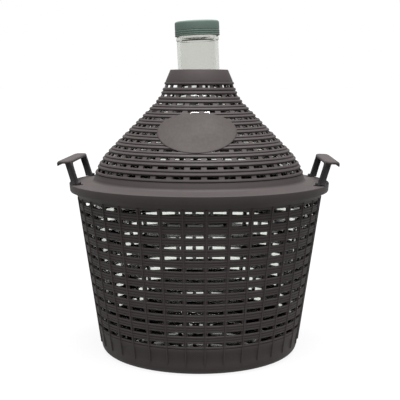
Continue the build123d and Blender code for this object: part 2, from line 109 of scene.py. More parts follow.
def wrapping_tree():
    """Node tree: repeat a flat cell in columns and rows, then wrap the sheet round the upright axis."""
    tree = bpy.data.node_groups.new("cells_round_an_outline", "GeometryNodeTree")
    tree.interface.new_socket("Geometry", in_out="INPUT", socket_type="NodeSocketGeometry")
    for label, kind in (
        ("Cell", "Object"), ("Outline", "Object"), ("Columns", "Int"), ("Rows", "Int"),
        ("First row", "Float"), ("Row pitch", "Float"), ("First column", "Float"), ("Plastic", "Material"),
    ):
        tree.interface.new_socket(label, in_out="INPUT", socket_type="NodeSocket" + kind)
    tree.interface.new_socket("Geometry", in_out="OUTPUT", socket_type="NodeSocketGeometry")
    nodes, link = tree.nodes, tree.links.new
    given = nodes.new("NodeGroupInput").outputs
    result = nodes.new("NodeGroupOutput").inputs

    def fed(node, **values):
        for label, value in values.items():
            socket = node.inputs[label.replace("_", " ")]
            if isinstance(value, bpy.types.NodeSocket):
                link(value, socket)
            else:
                socket.default_value = value
        return node

    def maths(operation, a, b=0.0):
        node = nodes.new("ShaderNodeMath")
        node.operation = operation
        for socket, value in zip(node.inputs, (a, b)):
            if isinstance(value, float):
                socket.default_value = value
            else:
                link(value, socket)
        return node.outputs[0]

    def vector(**values):
        return fed(nodes.new("ShaderNodeCombineXYZ"), **values).outputs[0]

    def repeated(geometry, count, start, step):
        line = fed(nodes.new("GeometryNodeMeshLine"), Count=count, Start_Location=start, Offset=step)
        placed = fed(nodes.new("GeometryNodeInstanceOnPoints"), Points=line.outputs[0], Instance=geometry)
        return fed(nodes.new("GeometryNodeRealizeInstances"), Geometry=placed.outputs[0]).outputs[0]

    cell = fed(nodes.new("GeometryNodeObjectInfo"), Object=given["Cell"])
    outline = fed(nodes.new("GeometryNodeObjectInfo"), Object=given["Outline"])
    ring = repeated(cell.outputs["Geometry"], given["Columns"], vector(), vector(X=1.0))
    sheet = repeated(ring, given["Rows"], vector(Z=given["First row"]), vector(Z=given["Row pitch"]))
    flat = fed(nodes.new("ShaderNodeSeparateXYZ"), Vector=nodes.new("GeometryNodeInputPosition").outputs[0])
    walk = nodes.new("GeometryNodeSampleCurve")
    walk.mode = "LENGTH"
    fed(walk, Curves=outline.outputs["Geometry"], Length=flat.outputs["Z"])
    spot = fed(nodes.new("ShaderNodeSeparateXYZ"), Vector=walk.outputs["Position"])
    way = fed(nodes.new("ShaderNodeSeparateXYZ"), Vector=walk.outputs["Tangent"])
    column = maths("ADD", flat.outputs["X"], given["First column"])
    angle = maths("DIVIDE", maths("MULTIPLY", column, 2 * pi), given["Columns"])
    radius = maths("ADD", spot.outputs["X"], maths("MULTIPLY", way.outputs["Z"], flat.outputs["Y"]))
    height = maths("SUBTRACT", spot.outputs["Z"], maths("MULTIPLY", way.outputs["X"], flat.outputs["Y"]))
    east = maths("MULTIPLY", radius, maths("SINE", angle))
    north = maths("MULTIPLY", maths("MULTIPLY", radius, maths("COSINE", angle)), -1.0)
    place = vector(X=east, Y=north, Z=height)
    wrapped = fed(nodes.new("GeometryNodeSetPosition"), Geometry=sheet, Position=place)
    real = fed(nodes.new("GeometryNodeRealizeInstances"), Geometry=wrapped.outputs[0])
    coated = fed(nodes.new("GeometryNodeSetMaterial"), Geometry=real.outputs[0], Material=given["Plastic"])
    link(coated.outputs[0], result[0])
    return tree


wrap_tree = wrapping_tree()


def wrapped(cell, outline, columns, rows, first_row, row_pitch, plastic, first_column=0.0):
    """The mesh of a flat cell, repeated and wrapped by the tree above; the cell itself is used up."""
    holder = keep(bmesh.new(), "holder")
    modifier = holder.modifiers.new("wrap", "NODES")
    modifier.node_group = wrap_tree
    wanted = {
        "Cell": cell, "Outline": outline, "Columns": columns, "Rows": rows,
        "First row": first_row, "Row pitch": row_pitch, "First column": first_column, "Plastic": plastic,
    }
    for item in wrap_tree.interface.items_tree:
        if item.in_out == "INPUT" and item.name in wanted:
            modifier[item.identifier] = wanted[item.name]
    seen = holder.evaluated_get(bpy.context.evaluated_depsgraph_get())
    mesh = bpy.data.meshes.new_from_object(seen)
    bpy.data.objects.remove(holder)
    bpy.data.objects.remove(cell)
    return mesh


def upright(r, z, a):
    """Where the outline point (radius, height) is at an angle from the front, round the upright axis."""
    return r * sin(a), -r * cos(a), z


def turned(profile, angles, place=upright):
    """The mesh of an outline turned through the angles; points at radius 0 become poles."""
    lathe = bmesh.new()
    rings = []
    for r, z in profile:
        if r < 1e-7:
            rings.append([lathe.verts.new(place(0, z, 0))] * len(angles))
        else:
            rings.append([lathe.verts.new(place(r, z, a)) for a in angles])
    for low, high in zip(rings, rings[1:]):
        for i in range(len(angles)):
            corners = [low[i - 1], low[i], high[i], high[i - 1]]
            face = [corner for n, corner in enumerate(corners) if corner not in corners[:n]]
            lathe.faces.new(face)
    mesh = bpy.data.meshes.new("turned")
    lathe.to_mesh(mesh)
    lathe.free()
    return mesh


def joined(name, meshes, plastic, sharp=38):
    """One closed object from several meshes: welded, facing outwards, smooth but for its real edges."""
    whole = bmesh.new()
    for mesh in meshes:
        whole.from_mesh(mesh)
        bpy.data.meshes.remove(mesh)
    bmesh.ops.remove_doubles(whole, verts=whole.verts, dist=0.05 * MM)
    bmesh.ops.recalc_face_normals(whole, faces=whole.faces)
    made = keep(whole, name)
    coat(made, plastic, sharp)
    return made


def coat(made, material, sharp):
    """Give the object one material and smooth faces that still break at real edges."""
    made.data.materials.clear()
    made.data.materials.append(material)
    for face in made.data.polygons:
        face.use_smooth = True
        face.material_index = 0
    made.data.set_sharp_from_angle(angle=radians(sharp))


def rounded(points, step=12):
    """An outline from (radius, height, rounding) corners: every corner with a rounding becomes an arc."""
    line = []
    for n, (r, z, rounding) in enumerate(points):
        here = Vector((r, z))
        if rounding == 0:
            line.append((r, z))
            continue
        back = (Vector(points[n - 1][:2]) - here).normalized()
        on = (Vector(points[n + 1][:2]) - here).normalized()
        half = back.angle(on) / 2
        centre = here + (back + on).normalized() * rounding / sin(half)
        start = here + back * rounding / tan(half) - centre
        end = here + on * rounding / tan(half) - centre
        sweep = start.angle_signed(end)
        count = max(2, round(abs(sweep) / radians(step)))
        for i in range(count + 1):
            part = sweep * i / count
            turned_x = start.x * cos(part) + start.y * sin(part)
            turned_z = -start.x * sin(part) + start.y * cos(part)
            line.append((centre.x + turned_x, centre.y + turned_z))
    return line


def cut(made, boxes):
    """Cut upright boxes, each (low corner, high corner), out of the object."""
    cutter = bmesh.new()
    for low, high in boxes:
        corners = bmesh.ops.create_cube(cutter, size=1)["verts"]
        for corner in corners:
            share = corner.co + Vector((0.5, 0.5, 0.5))
            corner.co = [l + (h - l) * s for l, h, s in zip(low, high, share)]
    tool = keep(cutter, "tool")
    modifier = made.modifiers.new("cut", "BOOLEAN")
    modifier.operation = "DIFFERENCE"
    modifier.solver = "MANIFOLD"
    modifier.object = tool
    seen = made.evaluated_get(bpy.context.evaluated_depsgraph_get())
    old, made.data = made.data, bpy.data.meshes.new_from_object(seen)
    made.modifiers.remove(modifier)
    bpy.data.meshes.remove(old)
    bpy.data.objects.remove(tool)


def moulded_group():
    """Shader group for a dull, scuffed moulding: a tone from 0 to 1, a roughness and a grainy normal."""
    group = bpy.data.node_groups.new("moulded_look", "ShaderNodeTree")
    group.interface.new_socket("Tone", in_out="OUTPUT", socket_type="NodeSocketFloat")
    group.interface.new_socket("Roughness", in_out="OUTPUT", socket_type="NodeSocketFloat")
    group.interface.new_socket("Normal", in_out="OUTPUT", socket_type="NodeSocketVector")
    nodes, link = group.nodes, group.links.new
    result = nodes.new("NodeGroupOutput").inputs
    place = nodes.new("ShaderNodeTexCoord").outputs["Object"]

    def noise(scale, detail, low, high):
        texture = nodes.new("ShaderNodeTexNoise")
        texture.inputs["Scale"].default_value = scale
        texture.inputs["Detail"].default_value = detail
        link(place, texture.inputs["Vector"])
        spread = nodes.new("ShaderNodeMapRange")
        spread.inputs["From Min"].default_value = 0.3
        spread.inputs["From Max"].default_value = 0.7
        spread.inputs["To Min"].default_value = low
        spread.inputs["To Max"].default_value = high
        link(texture.outputs["Fac"], spread.inputs["Value"])
        return spread.outputs["Result"]

    def maths(operation, a, b):
        node = nodes.new("ShaderNodeMath")
        node.operation = operation
        node.use_clamp = True
        link(a, node.inputs[0])
        link(b, node.inputs[1])
        return node.outputs[0]

    cloud = noise(9.0, 4.0, 0.25, 0.75)
    fleck = noise(420.0, 2.0, 0.0, 0.25)
    link(maths("ADD", cloud, fleck), result["Tone"])
    link(noise(30.0, 3.0, 0.66, 0.76), result["Roughness"])
    grain = noise(1400.0, 2.0, 0.0, 1.0)
    bump = nodes.new("ShaderNodeBump")
    bump.inputs["Strength"].default_value = 0.12
    bump.inputs["Distance"].default_value = 0.0001
    link(grain, bump.inputs["Height"])
    link(bump.outputs["Normal"], result["Normal"])
    return group


moulded_look = moulded_group()


def moulded(name, dark, light, specular):
    """A dull moulded plastic whose colour drifts between two tones."""
    material = bpy.data.materials.new(name)
    material.use_nodes = True
    nodes, link = material.node_tree.nodes, material.node_tree.links.new
    shader = nodes["Principled BSDF"]
    look = nodes.new("ShaderNodeGroup")
    look.node_tree = moulded_look
    tint = nodes.new("ShaderNodeMix")
    tint.data_type = "RGBA"
    colour_in = [socket for socket in tint.inputs if socket.type == "RGBA"]
    colour_in[0].default_value = (*dark, 1)
    colour_in[1].default_value = (*light, 1)
    link(look.outputs["Tone"], tint.inputs["Factor"])
    link([socket for socket in tint.outputs if socket.type == "RGBA"][0], shader.inputs["Base Color"])
    link(look.outputs["Roughness"], shader.inputs["Roughness"])
    link(look.outputs["Normal"], shader.inputs["Normal"])
    shader.inputs["Specular IOR Level"].default_value = specular
    return material


basket_plastic = moulded("basket_plastic", (0.0168, 0.013, 0.0133), (0.0262, 0.0208, 0.0202), 0.22)
basket_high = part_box("basket")[1]
BASKET_FOOT_R = 154.6 * MM
BASKET_NECK_R = 190.5 * MM
BASKET_RIM_R = 200.0 * MM
BASKET_RIM_HEIGHT = 17.5 * MM
BASKET_RIM_BEVEL = 9.5 * MM
BASKET_RIM_STEP = 2.6 * MM
BASKET_TOP_BAND = 5.9 * MM
BASKET_WALL = 2.6 * MM
BASKET_FLOOR = 3.0 * MM
BASKET_CORNER = 13.0 * MM
BASKET_RIBS = 36
BASKET_ROWS = 13
FIRST_ROW_Z = 47.4 * MM
FLOOR_SLOT_R = 88 * MM
FLOOR_SLOT_HALF = 30 * MM
FLOOR_CELL_HALF = 34 * MM
SMOOTH_UP_TO = 38
basket_neck = Vector((BASKET_NECK_R, basket_high.z - BASKET_RIM_HEIGHT))
basket_foot = Vector((BASKET_FOOT_R, 0))
wall_up = (basket_neck - basket_foot).normalized()
wall_in = Vector((-wall_up.y, wall_up.x))
wall_length = (basket_neck - basket_foot).length
first_row = FIRST_ROW_Z / wall_up.y
last_row = wall_length - BASKET_TOP_BAND
row_pitch = (last_row - first_row) / (BASKET_ROWS - 1)
corner_reach = BASKET_CORNER * (1 - wall_up.x) / wall_up.y
corner_r = BASKET_FOOT_R - corner_reach

# columns of a cell, in cell widths: half a rib at either end, the window between its two jambs
RIB = 2.0 * MM
rib_lines = [
    (-0.5, RIB), (-0.473, 0.9 * RIB), (-0.462, 0), (-0.39, 0), (-0.17, 0), (0, 0),
    (0.17, 0), (0.39, 0), (0.462, 0), (0.473, 0.9 * RIB), (0.5, RIB),
]
WINDOW = (0.39, 2.8 * MM)
# levels of a cell, in millimetres from the middle of the window: three round ribs on the band above it
WEAVE = 0.8 * MM
half_band = [(2.8, -0.2), (3.5, 0.85), (5.3, 0.85), (6.05, -0.45), (6.3, -0.45), (6.8, 0.6)]
weave_up = [(z * MM, height * WEAVE, 1) for z, height in half_band] + [(row_pitch / 2, WEAVE, 1)]
weave_down = [(-z, height, share) for z, height, share in reversed(weave_up)]
to_rim = wall_length - last_row
top_up = [
    (2.8 * MM, -0.2 * WEAVE, 1), (3.4 * MM, 0.25 * MM, 1), (to_rim - 0.5 * MM, 0.25 * MM, 1), (to_rim, 0, 0),
]
first_band = first_row - row_pitch / 2
foot_up = [
    (corner_reach, 0, 0), (16.6 * MM, 0, 0), (17.8 * MM, 0, 1), (first_band - 7.0 * MM, 0, 1),
    (first_band - 6.4 * MM, 0.45 * MM, 1), (first_band - 1.6 * MM, 0.6 * MM, 1), (first_band, WEAVE, 1),
]
floor_up = [(z, 0, 0) for z in (-FLOOR_CELL_HALF, -FLOOR_SLOT_HALF, FLOOR_SLOT_HALF, FLOOR_CELL_HALF)]

basket_line = outline_curve("basket_line", [basket_foot, basket_neck])
floor_line = outline_curve("floor_line", [(0, 0), (BASKET_FOOT_R, 0)])
row_cell = flat_cell("row_cell", rib_lines, weave_down + weave_up, WINDOW, BASKET_WALL)
top_cell = flat_cell("top_cell", rib_lines, weave_down + top_up, WINDOW, BASKET_WALL)
foot_cell = flat_cell("foot_cell", rib_lines, foot_up, None, BASKET_WALL)
floor_cell = flat_cell("floor_cell", rib_lines, floor_up, (0.17, FLOOR_SLOT_HALF), BASKET_FLOOR)
rib_angles = [(i + x) * 2 * pi / BASKET_RIBS for i in range(BASKET_RIBS) for x, rib in rib_lines[:-1]]

tilt = asin(wall_up.x)
slots_out = FLOOR_SLOT_R + FLOOR_CELL_HALF
slots_in = FLOOR_SLOT_R - FLOOR_CELL_HALF
outer_corner = [(slots_out, 0)]
inner_corner = [(slots_out, BASKET_FLOOR), (corner_r - 2 * MM, BASKET_FLOOR)]
inner_r = BASKET_CORNER - BASKET_WALL
CORNER_STEPS = 8
for i in range(CORNER_STEPS + 1):
    a = -pi / 2 + (pi / 2 - tilt) * i / CORNER_STEPS
    outer_corner.append((corner_r + BASKET_CORNER * cos(a), BASKET_CORNER * (1 + sin(a))))
    inner_corner.append((corner_r + inner_r * cos(a), BASKET_CORNER + inner_r * sin(a)))
rim_inner_r = BASKET_NECK_R - BASKET_WALL - BASKET_RIM_STEP
inner_neck = basket_neck + wall_in * BASKET_WALL
rim = rounded([
    (basket_neck.x, basket_neck.y, 0),
    (BASKET_RIM_R, basket_neck.y + BASKET_RIM_BEVEL, 0.8 * MM),
    (BASKET_RIM_R, basket_high.z, 1.0 * MM),
    (rim_inner_r, basket_high.z, 1.0 * MM),
    (rim_inner_r, basket_neck.y + BASKET_RIM_STEP, 0),
    (inner_neck.x, inner_neck.y, 0),
])
basket = joined("basket_tub", [
    wrapped(row_cell, basket_line, BASKET_RIBS, BASKET_ROWS - 1, first_row, row_pitch, basket_plastic),
    wrapped(top_cell, basket_line, BASKET_RIBS, 1, last_row, 0.0, basket_plastic),
    wrapped(foot_cell, basket_line, BASKET_RIBS, 1, 0.0, 0.0, basket_plastic),
    wrapped(floor_cell, floor_line, BASKET_RIBS, 1, FLOOR_SLOT_R, 0.0, basket_plastic),
    turned(outer_corner, rib_angles),
    turned(inner_corner, rib_angles),
    turned([(0, 0), (slots_in, 0)], rib_angles),
    turned([(0, BASKET_FLOOR), (slots_in, BASKET_FLOOR)], rib_angles),
    turned(rim, rib_angles),
], basket_plastic)

# slots for the handles' tongues, through the cover's brim and down into the basket's rim
TONGUE_X = 180.2 * MM
HANDLE_SPAN = 68.0 * MM
SLOT_IN, SLOT_OUT = TONGUE_X - 6.0 * MM, TONGUE_X + 3.4 * MM
SLOT_HALF_WIDTH = 4.9 * MM
SLOT_FLOOR_Z, SLOT_TOP_Z = 257.5 * MM, 285.0 * MM
tongue_slots = []
for side in (-1, 1):
    for end in (-1, 1):
        xs = sorted((side * SLOT_IN, side * SLOT_OUT))
        low = (xs[0], end * HANDLE_SPAN - SLOT_HALF_WIDTH, SLOT_FLOOR_Z)
        high = (xs[1], end * HANDLE_SPAN + SLOT_HALF_WIDTH, SLOT_TOP_Z)
        tongue_slots.append((low, high))
cut(basket, tongue_slots)
coat(basket, basket_plastic, SMOOTH_UP_TO)
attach(basket, "basket")
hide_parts("basket")


# ---- the cover: one moulding, a hollow cone from the collar round the neck down to a flat brim
# Twelve rows of windows lie between pairs of raised rings; the four rows by the collar have half as many
# windows. A blank oval plate covers part of the rows at the front, and a skirt hangs over the basket's rim.
cover_low, cover_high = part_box("cover")
COVER_WALL = 2.0 * MM
COVER_ROWS = 12
COARSE_ROWS = 4
COVER_WINDOWS = 40
COVER_PITCH = 15.24 * MM
COVER_WINDOW_HALF = 2.1 * MM
BRIM_R = 204.0 * MM
COLLAR_FOOT_R, COLLAR_HEIGHT = 52.3 * MM, 17.6 * MM
CONE_TOP_R, CONE_TOP_DROP = 71.7 * MM, 54.8 * MM
CONE_FOOT_R, CONE_FOOT_DROP = 135.7 * MM, 119.9 * MM
CREASE_R, CREASE_RISE = 166.2 * MM, 3.0 * MM
SKIRT_DRAFT = 1.4 * MM
cover_top = cover_high.z
brim_z = basket_high.z + 2.3 * MM
collar_foot = Vector((COLLAR_FOOT_R, cover_top - COLLAR_HEIGHT))
cone_top = Vector((CONE_TOP_R, cover_top - CONE_TOP_DROP))
cone_foot = Vector((CONE_FOOT_R, cover_top - CONE_FOOT_DROP))
crease = Vector((CREASE_R, brim_z + CREASE_RISE))


def bowed(start, end, sag, steps=40):
    """Points of an arc between two outline points, bulging outwards by sag."""
    along = (end - start).normalized()
    outwards = Vector((along.y, -along.x))
    chord = (end - start).length
    r = (chord * chord / 4 + sag * sag) / (2 * sag)
    centre = (start + end) / 2 + outwards * (sag - r)
    reach = asin(chord / 2 / r)
    turns = [reach * (2 * i / steps - 1) for i in range(steps + 1)]
    return [centre + outwards * r * cos(t) + along * r * sin(t) for t in turns]


cone = bowed(crease, cone_foot, 4.5 * MM) + bowed(cone_top, collar_foot, -3.0 * MM)
cone_length = sum((b - a).length for a, b in zip(cone, cone[1:]))


def on_cone(distance, inset=0.0):
    """The point at a distance along the cone from the crease, moved in from the outline by inset."""
    for a, b in zip(cone, cone[1:]):
        step = (b - a).length
        if distance <= step:
            along = (b - a) / step
            return a + along * distance + Vector((-along.y, along.x)) * inset
        distance -= step


# levels of a cell, in millimetres from the middle of the window: one raised ring on either side of it
slot_band = [
    (2.1, -0.7), (2.6, -0.7), (2.9, 0.5), (3.4, 1.15), (4.7, 1.3), (6.1, 1.1), (6.6, 0.5), (6.9, -0.2),
]
ring_up = [(z * MM, height * MM, 1) for z, height in slot_band] + [(COVER_PITCH / 2, 0, 1)]
ring_down = [(-z, height, share) for z, height, share in reversed(ring_up)]
fine_lines = [(i / 6, 0) for i in range(-3, 4)]
coarse_lines = [(i / 12, 0) for i in range(-6, 7)]
fine_cell = flat_cell(
    "fine_cell", fine_lines, ring_down + ring_up, (2 / 6, COVER_WINDOW_HALF), COVER_WALL)
coarse_cell = flat_cell(
    "coarse_cell", coarse_lines, ring_down + ring_up, (4 / 12, COVER_WINDOW_HALF), COVER_WALL)
cone_line = outline_curve("cone_line", cone)
cone_angles = [i * 2 * pi / (6 * COVER_WINDOWS) for i in range(6 * COVER_WINDOWS)]
top_row = cone_length - 8.0 * MM
first_fine_row = top_row - (COVER_ROWS - 1) * COVER_PITCH
first_coarse_row = top_row - (COARSE_ROWS - 1) * COVER_PITCH

low_end = first_fine_row - COVER_PITCH / 2
high_end = top_row + COVER_PITCH / 2
skirt_r = BRIM_R - SKIRT_DRAFT
skirt_z = cover_low.z
lower_in, lower_out = [], []
LOWER_STEPS = 8
for i in range(LOWER_STEPS + 1):
    lower_out.append((*on_cone(low_end * (1 - i / LOWER_STEPS)), 0))
    lower_in.append((*on_cone(low_end * (1 - i / LOWER_STEPS), COVER_WALL), 0))
brim = rounded(lower_out[:-2] + [
    (crease.x, crease.y, 5.0 * MM),
    (BRIM_R - 4.0 * MM, brim_z + 0.35 * MM, 0),
    (BRIM_R - 3.4 * MM, brim_z + 0.62 * MM, 0),
    (BRIM_R - 0.2 * MM, brim_z + 0.3 * MM, 0.9 * MM),
    (skirt_r + 0.2 * MM, skirt_z + 1.2 * MM, 0),
    (skirt_r - 0.5 * MM, skirt_z, 0),
    (skirt_r - COVER_WALL, skirt_z, 0),
    (BRIM_R - COVER_WALL, brim_z - COVER_WALL, 0),
    (crease.x - COVER_WALL, crease.y - COVER_WALL, 0),
] + lower_in[-3::-1], step=15)
collar = rounded([
    (*on_cone(high_end), 0),
    (collar_foot.x, collar_foot.y + 0.5 * MM, 0),
    (45.0 * MM, cover_top, 0.9 * MM),
    (43.0 * MM, cover_top, 0.9 * MM),
    (50.3 * MM, collar_foot.y, 0),
    (*on_cone(high_end, COVER_WALL), 0),
])
cover = joined("cover_cone", [
    wrapped(fine_cell, cone_line, COVER_WINDOWS, COVER_ROWS - COARSE_ROWS,
            first_fine_row, COVER_PITCH, basket_plastic),
    wrapped(coarse_cell, cone_line, COVER_WINDOWS // 2, COARSE_ROWS,
            first_coarse_row, COVER_PITCH, basket_plastic, -0.25),
    turned(brim, cone_angles),
    turned(collar, cone_angles),
], basket_plastic)
cut(cover, tongue_slots)
coat(cover, basket_plastic, SMOOTH_UP_TO)
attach(cover, "cover")
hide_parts("cover")

# the plate's own finish: a shade lighter, with faint upright streaks
plate_plastic = moulded("plate_plastic", (0.0205, 0.017, 0.0165), (0.035, 0.0295, 0.0285), 0.12)
plate_nodes, plate_link = plate_plastic.node_tree.nodes, plate_plastic.node_tree.links.new
stretch = plate_nodes.new("ShaderNodeMapping")
stretch.inputs["Scale"].default_value = (260, 260, 14)
plate_link(plate_nodes.new("ShaderNodeTexCoord").outputs["Object"], stretch.inputs["Vector"])
streaks = plate_nodes.new("ShaderNodeTexNoise")
streaks.inputs["Scale"].default_value = 1.0
streaks.inputs["Detail"].default_value = 4.0
plate_link(stretch.outputs["Vector"], streaks.inputs["Vector"])
streak_bump = plate_nodes.new("ShaderNodeBump")
streak_bump.inputs["Strength"].default_value = 0.35
streak_bump.inputs["Distance"].default_value = 0.0004
plate_link(streaks.outputs["Fac"], streak_bump.inputs["Height"])
plate_link(streak_bump.outputs["Normal"], plate_nodes["Principled BSDF"].inputs["Normal"])
plate_tint = [node for node in plate_nodes if node.type == "MIX"][0]
plate_link(streaks.outputs["Fac"], plate_tint.inputs["Factor"])
PLATE_HALF = (59.0 * MM, 28.0 * MM)
PLATE_Z = 350.9 * MM
slope = (cone_top - cone_foot).normalized()


def on_plate(share, height, turn):
    """A point of the plate: its share of the way from middle to edge, its height off the cone, its turn."""
    x = PLATE_HALF[0] * share * cos(turn)
    z = PLATE_Z + PLATE_HALF[1] * share * sin(turn)
    r = cone_foot.x + (height + (z - cone_foot.y) * slope.x) / slope.y
    return x, -sqrt(r * r - x * x), z


plate_turns = [i * 2 * pi / 120 for i in range(120)]
plate_rings = [(0, -1.2), (0.5, -1.2), (1.0, -1.2), (1.0, 1.3), (0.992, 1.8), (0.975, 2.1), (0.95, 2.2)]
plate_rings += [(share, 2.2) for share in (0.85, 0.7, 0.5, 0.25, 0)]
plate = joined("cover_plate", [
    turned([(share, height * MM) for share, height in plate_rings], plate_turns, on_plate),
], plate_plastic, sharp=50)
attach(plate, "cover")


# ---- the bottle: blown glass, a wide body with a rounded shoulder, and a neck that leans a little
# The neck's axis bends over a short stretch above the shoulder. A bead runs round the neck below the cap, and
# a thread inside it; the base is thick and pushed up in the middle. The neck is a little greyer.
glass = bpy.data.materials.new("clear_glass")
glass.use_nodes = True
glass_shader = glass.node_tree.nodes["Principled BSDF"]
glass_shader.inputs["Transmission Weight"].default_value = 1.0
glass_shader.inputs["Roughness"].default_value = 0.03
glass_shader.inputs["IOR"].default_value = 1.5
glass_nodes, glass_link = glass.node_tree.nodes, glass.node_tree.links.new
height_split = glass_nodes.new("ShaderNodeSeparateXYZ")
glass_link(glass_nodes.new("ShaderNodeTexCoord").outputs["Object"], height_split.inputs[0])
neck_share = glass_nodes.new("ShaderNodeMapRange")
neck_share.inputs["From Min"].default_value = 0.41
neck_share.inputs["From Max"].default_value = 0.44
glass_link(height_split.outputs["Z"], neck_share.inputs["Value"])
glass_tint = glass_nodes.new("ShaderNodeMix")
glass_tint.data_type = "RGBA"
tint_colours = [socket for socket in glass_tint.inputs if socket.type == "RGBA"]
tint_colours[0].default_value = (0.97, 0.985, 0.965, 1)
tint_colours[1].default_value = (0.825, 0.82, 0.8, 1)
glass_link(neck_share.outputs["Result"], glass_tint.inputs["Factor"])
tinted = [socket for socket in glass_tint.outputs if socket.type == "RGBA"][0]
glass_link(tinted, glass_shader.inputs["Base Color"])
depth = glass_nodes.new("ShaderNodeVolumeAbsorption")
depth.inputs["Color"].default_value = (0.63, 0.665, 0.62, 1)
depth.inputs["Density"].default_value = 60.0
glass_link(depth.outputs["Volume"], glass_nodes["Material Output"].inputs["Volume"])
GLASS_WALL = 4.0 * MM
NECK_R = 32.35 * MM
BORE_R = 27.5 * MM
FINISH_R = 31.0 * MM
BEAD_R = NECK_R + 1.1 * MM
NECK_LENGTH = 79.2 * MM
THREAD_START, THREAD_PITCH, THREAD_HEIGHT = 4.5 * MM, 5.4 * MM, 1.7 * MM
LEAN = radians(2.5)
BEND_R = 200.0 * MM
shoulder_sum = 445.8 * MM
bend_z = 425.55 * MM
bend_length = BEND_R * LEAN
neck_z = bend_z + bend_length
lip_z = neck_z + NECK_LENGTH


def leaning(r, z, a):
    """Like upright, but heights above the bend follow the leaning neck."""
    x, y = r * sin(a), -r * cos(a)
    if z <= bend_z:
        return x, y, z
    turn = min(z - bend_z, bend_length) / BEND_R
    beyond = max(z - bend_z - bend_length, 0)
    out = (BEND_R + x) * cos(turn) - BEND_R - beyond * sin(turn)
    up = bend_z + (BEND_R + x) * sin(turn) + beyond * cos(turn)
    return out, y, up


def threaded(r, z, a):
    """Like leaning, with the thread's ridge raised on the part of the neck under the cap."""
    if r > FINISH_R - 0.5 * MM and z > lip_z - 15 * MM:
        turns_down = (lip_z - THREAD_START - z) / THREAD_PITCH - a / (2 * pi)
        share = turns_down - round(turns_down)
        if -0.2 < turns_down < 1.7:
            r += THREAD_HEIGHT * exp(-((share * 5.2) ** 2))
    return leaning(r, z, a)


body_r = 148.8 * MM
widest = (180.2 * MM, 220.0 * MM)
shoulder = (shoulder_sum - 305.0 * MM, 305.0 * MM)
inner_sum = shoulder_sum - GLASS_WALL * sqrt(2)
bottle_outline = rounded([
    (0, 8.0 * MM, 0),
    (95.0 * MM, 6.0 * MM, 60 * MM),
    (120.0 * MM, 3.0 * MM, 4 * MM),
    (body_r, 3.0 * MM, 24 * MM),
    (*widest, 80 * MM),
    (*shoulder, 70 * MM),
    (NECK_R, shoulder_sum - NECK_R, 28 * MM),
    (NECK_R, lip_z - 26.4 * MM, 1 * MM),
    (BEAD_R, lip_z - 25.0 * MM, 1.6 * MM),
    (BEAD_R, lip_z - 21.2 * MM, 1.6 * MM),
    (FINISH_R, lip_z - 19.6 * MM, 0),
], step=7)
bottle_outline += [(FINISH_R, lip_z - (15.5 - 0.5 * i) * MM) for i in range(28)]
bottle_outline += rounded([
    (FINISH_R, lip_z - 1.8 * MM, 0),
    (FINISH_R, lip_z, 1.6 * MM),
    (BORE_R, lip_z, 1.6 * MM),
    (BORE_R, inner_sum - BORE_R, 32 * MM),
    (inner_sum - shoulder[1], shoulder[1], 66 * MM),
    (widest[0] - GLASS_WALL, widest[1], 76 * MM),
    (body_r - GLASS_WALL, 10.0 * MM, 26 * MM),
    (100.0 * MM, 11.0 * MM, 60 * MM),
    (0, 15.0 * MM, 0),
], step=7)
round_angles = [i * 2 * pi / 144 for i in range(144)]
bottle = joined("bottle_glass", [turned(bottle_outline, round_angles, threaded)], glass, sharp=60)
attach(bottle, "bottle")
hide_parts("glass_bottle")


# ---- the cap and its seal: a sage green screw cap with shallow bands, and a pale disc inside it
# Both are turned about the leaning neck. The cap's skirt has a plain upper half, and three bands with a
# groove between each two in the lower half.
cap_plastic = moulded("cap_plastic", (0.042, 0.064, 0.054), (0.056, 0.082, 0.07), 0.3)
rubber = moulded("seal_rubber", (0.42, 0.41, 0.38), (0.5, 0.49, 0.46), 0.3)
CAP_R = 34.7 * MM
CAP_BORE_R = 33.2 * MM
CAP_TOP = 2.3 * MM
CAP_BANDS, BAND_PITCH = 3, 3.0 * MM
SEAL_R = 32.6 * MM
SEAL_THICKNESS = 1.6 * MM
roof_z = lip_z + SEAL_THICKNESS + 0.05 * MM
cap_foot = lip_z - 18.9 * MM
cap_outline = [
    (0, roof_z, 0),
    (CAP_BORE_R, roof_z, 0.5 * MM),
    (CAP_BORE_R, cap_foot + 0.3 * MM, 0),
    (CAP_BORE_R + 0.4 * MM, cap_foot, 0),
    (CAP_R - 0.5 * MM, cap_foot, 0.4 * MM),
]
for band in range(CAP_BANDS):
    low = cap_foot + band * BAND_PITCH + 0.5 * MM
    cap_outline += [
        (CAP_R, low, 0.4 * MM), (CAP_R, low + 1.9 * MM, 0.4 * MM),
        (CAP_R - 0.6 * MM, low + 2.2 * MM, 0.2 * MM), (CAP_R - 0.6 * MM, low + 2.8 * MM, 0.2 * MM),
    ]
cap_outline += [
    (CAP_R - 0.15 * MM, cap_foot + 9.6 * MM, 0.3 * MM),
    (CAP_R - 0.3 * MM, roof_z + CAP_TOP, 3.0 * MM),
    (0, roof_z + CAP_TOP, 0),
]
cap = joined("cap_shell", [turned(rounded(cap_outline, step=15), round_angles, leaning)], cap_plastic)
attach(cap, "cap")
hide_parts("screw_cap")

seal_top = lip_z + SEAL_THICKNESS
seal_outline = [
    (0, lip_z, 0), (SEAL_R, lip_z, 0.4 * MM), (SEAL_R, seal_top, 0.4 * MM), (0, seal_top, 0),
]
seal = joined("seal_disc", [turned(rounded(seal_outline), round_angles, leaning)], rubber)
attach(seal, "seal")
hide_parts("cap_seal")


